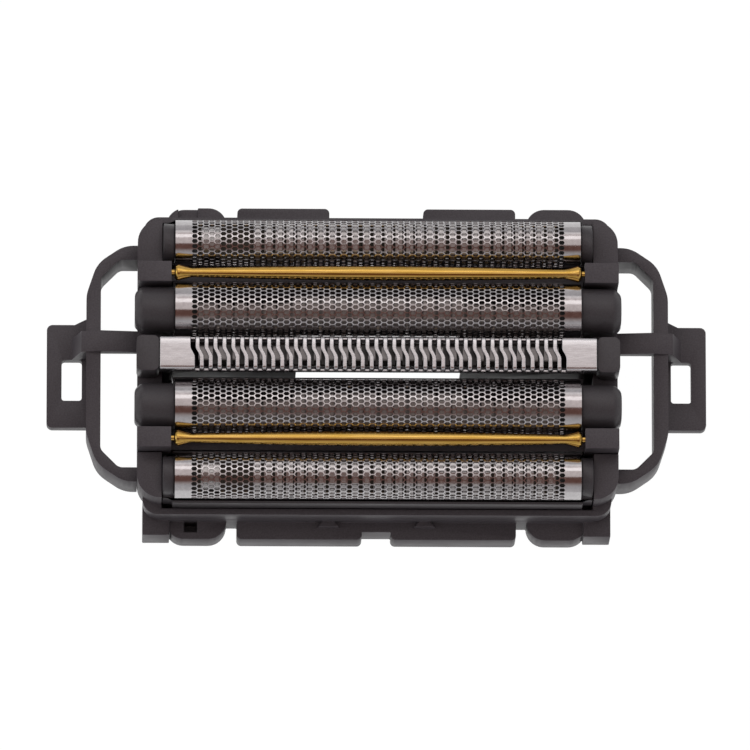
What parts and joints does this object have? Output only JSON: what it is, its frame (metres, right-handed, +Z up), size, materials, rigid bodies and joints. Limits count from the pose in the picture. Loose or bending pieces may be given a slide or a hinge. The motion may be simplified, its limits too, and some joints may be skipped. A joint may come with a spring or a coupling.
{
  "type": "shaver foil head",
  "caption": "Electric shaver foil head: arched perforated foils and a slotted centre blade float in a dark plastic frame, with gold rollers between them and side release arms.",
  "frame": {"origin": "middle of the footprint, on the plane that the base frame stands on", "axes": "+X along the foils, +Y to the rear, +Z up to the skin side"},
  "size_m": [0.0686, 0.0352, 0.0142],
  "materials": {
    "housing_plastic": "satin",
    "holder_plastic": "satin",
    "carrier_plastic": "matte",
    "foil_steel": "polished, with hexagonal holes",
    "blade_steel": "satin",
    "cutter_steel": "ground",
    "spring_steel": "drawn",
    "roller_metal": "polished, gold coloured"
  },
  "bodies": {
    "frame": {"base_frame": "housing_plastic", "head_frame": "housing_plastic", "release_arm_left": "housing_plastic", "release_arm_right": "housing_plastic"},
    "outer_foil_unit_rear": {"outer_holder_rear": "holder_plastic", "outer_foil_rear": "foil_steel"},
    "outer_cutter_rear": {"outer_blades_rear": "cutter_steel", "outer_carrier_rear": "carrier_plastic"},
    "inner_foil_unit_rear": {"inner_holder_rear": "holder_plastic", "inner_foil_rear": "foil_steel"},
    "inner_cutter_rear": {"inner_blades_rear": "cutter_steel", "inner_carrier_rear": "carrier_plastic"},
    "roller_rear": {"roller_rear": "roller_metal"},
    "outer_foil_unit_front": {"outer_holder_front": "holder_plastic", "outer_foil_front": "foil_steel"},
    "outer_cutter_front": {"outer_blades_front": "cutter_steel", "outer_carrier_front": "carrier_plastic"},
    "inner_foil_unit_front": {"inner_holder_front": "holder_plastic", "inner_foil_front": "foil_steel"},
    "inner_cutter_front": {"inner_blades_front": "cutter_steel", "inner_carrier_front": "carrier_plastic"},
    "roller_front": {"roller_front": "roller_metal"},
    "slit_unit": {"slit_holder": "holder_plastic", "slit_blade": "blade_steel", "slit_spring_right": "spring_steel", "slit_spring_left": "spring_steel"},
    "slit_cutter_unit": {"slit_cutter": "cutter_steel", "slit_slider": "carrier_plastic"}
  },
  "joints": [
    {"name": "outer_foil_unit_rear_float", "type": "slide", "parent": "frame", "child": "outer_foil_unit_rear", "axis": [0, 0, 1], "range_m": [0, 0.0006]},
    {"name": "outer_cutter_rear_stroke", "type": "slide", "parent": "outer_foil_unit_rear", "child": "outer_cutter_rear", "axis": [1, 0, 0], "range_m": [-0.0011, 0.0011]},
    {"name": "inner_foil_unit_rear_float", "type": "slide", "parent": "frame", "child": "inner_foil_unit_rear", "axis": [0, 0, 1], "range_m": [0, 0.0006]},
    {"name": "inner_cutter_rear_stroke", "type": "slide", "parent": "inner_foil_unit_rear", "child": "inner_cutter_rear", "axis": [1, 0, 0], "range_m": [-0.0011, 0.0011]},
    {"name": "roller_rear_spin", "type": "hinge", "parent": "frame", "child": "roller_rear", "pos_m": [0, 0.00875, 0.01275], "axis": [1, 0, 0], "continuous": true},
    {"name": "outer_foil_unit_front_float", "type": "slide", "parent": "frame", "child": "outer_foil_unit_front", "axis": [0, 0, 1], "range_m": [0, 0.0006]},
    {"name": "outer_cutter_front_stroke", "type": "slide", "parent": "outer_foil_unit_front", "child": "outer_cutter_front", "axis": [1, 0, 0], "range_m": [-0.0011, 0.0011]},
    {"name": "inner_foil_unit_front_float", "type": "slide", "parent": "frame", "child": "inner_foil_unit_front", "axis": [0, 0, 1], "range_m": [0, 0.0006]},
    {"name": "inner_cutter_front_stroke", "type": "slide", "parent": "inner_foil_unit_front", "child": "inner_cutter_front", "axis": [1, 0, 0], "range_m": [-0.0011, 0.0011]},
    {"name": "roller_front_spin", "type": "hinge", "parent": "frame", "child": "roller_front", "pos_m": [0, -0.00875, 0.01275], "axis": [1, 0, 0], "continuous": true},
    {"name": "slit_unit_float", "type": "slide", "parent": "frame", "child": "slit_unit", "axis": [0, 0, 1], "range_m": [0, 0.0006]},
    {"name": "slit_cutter_stroke", "type": "slide", "parent": "slit_unit", "child": "slit_cutter_unit", "axis": [1, 0, 0], "range_m": [-0.0009, 0.0009]}
  ]
}
